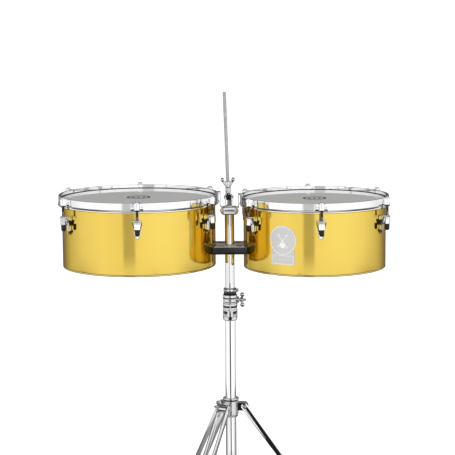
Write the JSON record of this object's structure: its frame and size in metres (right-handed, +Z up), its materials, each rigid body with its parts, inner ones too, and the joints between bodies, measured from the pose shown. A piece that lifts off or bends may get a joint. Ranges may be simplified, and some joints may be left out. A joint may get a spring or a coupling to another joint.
{
  "type": "timbales",
  "caption": "Pair of metal single-headed drums with steel hoops and tuning lugs on a height-adjustable folding tripod stand with a tilting cowbell rod.",
  "frame": {"origin": "centre of the bounding box at floor level, where the feet stand", "axes": "+Z up; -Y towards the player; the larger drum is on -X"},
  "size_m": [0.7674, 0.6176, 1.1694],
  "materials": {
    "brass_shell": "polished, clear lacquered",
    "head_film": "satin film",
    "chrome": "mirror chrome plate",
    "plain_steel": "zinc plated",
    "black_coat": "satin powder coat",
    "black_plastic": "satin moulded",
    "black_rubber": "matt",
    "badge_silver": "satin foil"
  },
  "bodies": {
    "stand": {"stand_tube": "chrome", "base_casting": "plain_steel", "height_collar": "chrome", "collar_bush": "black_plastic"},
    "height_bolt": {"height_wing_bolt": "chrome"},
    "leg_slider": {"leg_collar": "chrome"},
    "leg_bolt": {"leg_wing_bolt": "chrome"},
    "post": {"post": "chrome", "memory_lock": "chrome"},
    "carrier": {"bridge": "chrome", "left_hanger": "chrome", "right_hanger": "chrome", "spacer_block": "black_coat", "yoke": "chrome", "yoke_bolt": "plain_steel", "pivot_pin": "plain_steel", "badge": "badge_silver", "left_shell": "brass_shell", "left_head": "head_film", "left_hoop": "chrome", "right_shell": "brass_shell", "right_head": "head_film", "right_hoop": "chrome", "left_lug_1": "chrome", "left_lug_2": "chrome", "left_lug_3": "chrome", "left_lug_4": "chrome", "left_lug_5": "chrome", "left_lug_6": "chrome", "right_lug_1": "chrome", "right_lug_2": "chrome", "right_lug_3": "chrome", "right_lug_4": "chrome", "right_lug_5": "chrome", "right_lug_6": "chrome"},
    "rod_clamp": {"rod_holder": "chrome", "pivot_bush": "black_plastic"},
    "rod": {"cowbell_rod": "chrome"},
    "wing_nut": {"cowbell_wing_nut": "chrome"},
    "leg_1": {"leg_1": "chrome", "foot_1": "black_rubber"},
    "brace_1": {"brace_1": "chrome"},
    "leg_2": {"leg_2": "chrome", "foot_2": "black_rubber"},
    "brace_2": {"brace_2": "chrome"},
    "leg_3": {"leg_3": "chrome", "foot_3": "black_rubber"},
    "brace_3": {"brace_3": "chrome"},
    "left_nut_1": {"left_nut_1": "chrome"},
    "left_nut_2": {"left_nut_2": "chrome"},
    "left_nut_3": {"left_nut_3": "chrome"},
    "left_nut_4": {"left_nut_4": "chrome"},
    "left_nut_5": {"left_nut_5": "chrome"},
    "left_nut_6": {"left_nut_6": "chrome"},
    "right_nut_1": {"right_nut_1": "chrome"},
    "right_nut_2": {"right_nut_2": "chrome"},
    "right_nut_3": {"right_nut_3": "chrome"},
    "right_nut_4": {"right_nut_4": "chrome"},
    "right_nut_5": {"right_nut_5": "chrome"},
    "right_nut_6": {"right_nut_6": "chrome"}
  },
  "joints": [
    {"name": "leg_fold", "type": "slide", "parent": "stand", "child": "leg_slider", "axis": [0, 0, 1], "range_m": [0, 0.1416]},
    {"name": "leg_1_hinge", "type": "hinge", "parent": "leg_slider", "child": "leg_1", "pos_m": [0.0447, 0, 0.43], "axis": [0, 1, 0], "range_deg": [0, 36]},
    {"name": "brace_1_hinge", "type": "hinge", "parent": "stand", "child": "brace_1", "pos_m": [0.0367, 0, 0.13], "axis": [0, 1, 0], "range_deg": [-57.9, 0]},
    {"name": "leg_2_hinge", "type": "hinge", "parent": "leg_slider", "child": "leg_2", "pos_m": [-0.0033, 0.02771, 0.43], "axis": [-0.866, -0.5, 0], "range_deg": [0, 36]},
    {"name": "brace_2_hinge", "type": "hinge", "parent": "stand", "child": "brace_2", "pos_m": [0.0007, 0.02079, 0.13], "axis": [-0.866, -0.5, 0], "range_deg": [-57.9, 0]},
    {"name": "leg_3_hinge", "type": "hinge", "parent": "leg_slider", "child": "leg_3", "pos_m": [-0.0033, -0.02771, 0.43], "axis": [0.866, -0.5, 0], "range_deg": [0, 36]},
    {"name": "brace_3_hinge", "type": "hinge", "parent": "stand", "child": "brace_3", "pos_m": [0.0007, -0.02079, 0.13], "axis": [0.866, -0.5, 0], "range_deg": [-57.9, 0]},
    {"name": "leg_bolt_turn", "type": "hinge", "parent": "leg_slider", "child": "leg_bolt", "pos_m": [-0.0073, 0, 0.428], "axis": [1, 0, 0], "continuous": true},
    {"name": "height_bolt_turn", "type": "hinge", "parent": "stand", "child": "height_bolt", "pos_m": [0.0327, 0, 0.6842], "axis": [1, 0, 0], "continuous": true},
    {"name": "post_height", "type": "slide", "parent": "stand", "child": "post", "axis": [0, 0, 1], "range_m": [0, 0.2]},
    {"name": "carrier_swivel", "type": "hinge", "parent": "post", "child": "carrier", "pos_m": [0.0127, 0, 0.89], "axis": [0, 0, 1], "continuous": true},
    {"name": "rod_tilt", "type": "hinge", "parent": "carrier", "child": "rod_clamp", "pos_m": [0.0112, 0, 0.926], "axis": [1, 0, 0], "range_deg": [-60, 60]},
    {"name": "rod_height", "type": "slide", "parent": "rod_clamp", "child": "rod", "axis": [-0.0316, 0, 0.9995], "range_m": [0, 0.02]},
    {"name": "wing_nut_turn", "type": "hinge", "parent": "rod_clamp", "child": "wing_nut", "pos_m": [0.0107, 0, 0.926], "axis": [-0.0316, 0, 0.9995], "continuous": true},
    {"name": "left_nut_1_turn", "type": "hinge", "parent": "carrier", "child": "left_nut_1", "pos_m": [-0.19043, -0.19388, 0.887], "axis": [0, 0, 1], "continuous": true},
    {"name": "left_nut_2_turn", "type": "hinge", "parent": "carrier", "child": "left_nut_2", "pos_m": [-0.02591, -0.09108, 0.887], "axis": [0, 0, 1], "continuous": true},
    {"name": "left_nut_3_turn", "type": "hinge", "parent": "carrier", "child": "left_nut_3", "pos_m": [-0.03268, 0.1028, 0.887], "axis": [0, 0, 1], "continuous": true},
    {"name": "left_nut_4_turn", "type": "hinge", "parent": "carrier", "child": "left_nut_4", "pos_m": [-0.20397, 0.19388, 0.887], "axis": [0, 0, 1], "continuous": true},
    {"name": "left_nut_5_turn", "type": "hinge", "parent": "carrier", "child": "left_nut_5", "pos_m": [-0.36849, 0.09108, 0.887], "axis": [0, 0, 1], "continuous": true},
    {"name": "left_nut_6_turn", "type": "hinge", "parent": "carrier", "child": "left_nut_6", "pos_m": [-0.36172, -0.1028, 0.887], "axis": [0, 0, 1], "continuous": true},
    {"name": "right_nut_1_turn", "type": "hinge", "parent": "carrier", "child": "right_nut_1", "pos_m": [0.21591, -0.1812, 0.8815], "axis": [0, 0, 1], "continuous": true},
    {"name": "right_nut_2_turn", "type": "hinge", "parent": "carrier", "child": "right_nut_2", "pos_m": [0.36983, -0.08539, 0.8815], "axis": [0, 0, 1], "continuous": true},
    {"name": "right_nut_3_turn", "type": "hinge", "parent": "carrier", "child": "right_nut_3", "pos_m": [0.36382, 0.09581, 0.8815], "axis": [0, 0, 1], "continuous": true},
    {"name": "right_nut_4_turn", "type": "hinge", "parent": "carrier", "child": "right_nut_4", "pos_m": [0.20389, 0.1812, 0.8815], "axis": [0, 0, 1], "continuous": true},
    {"name": "right_nut_5_turn", "type": "hinge", "parent": "carrier", "child": "right_nut_5", "pos_m": [0.04997, 0.08539, 0.8815], "axis": [0, 0, 1], "continuous": true},
    {"name": "right_nut_6_turn", "type": "hinge", "parent": "carrier", "child": "right_nut_6", "pos_m": [0.05598, -0.09581, 0.8815], "axis": [0, 0, 1], "continuous": true}
  ],
  "couplings": [
    {"joint": "leg_1_hinge", "follows": "leg_fold", "rad_per_m": 4.4287},
    {"joint": "brace_1_hinge", "follows": "leg_fold", "rad_per_m": -7.1257},
    {"joint": "leg_2_hinge", "follows": "leg_fold", "rad_per_m": 4.4287},
    {"joint": "brace_2_hinge", "follows": "leg_fold", "rad_per_m": -7.1257},
    {"joint": "leg_3_hinge", "follows": "leg_fold", "rad_per_m": 4.4287},
    {"joint": "brace_3_hinge", "follows": "leg_fold", "rad_per_m": -7.1257}
  ]
}
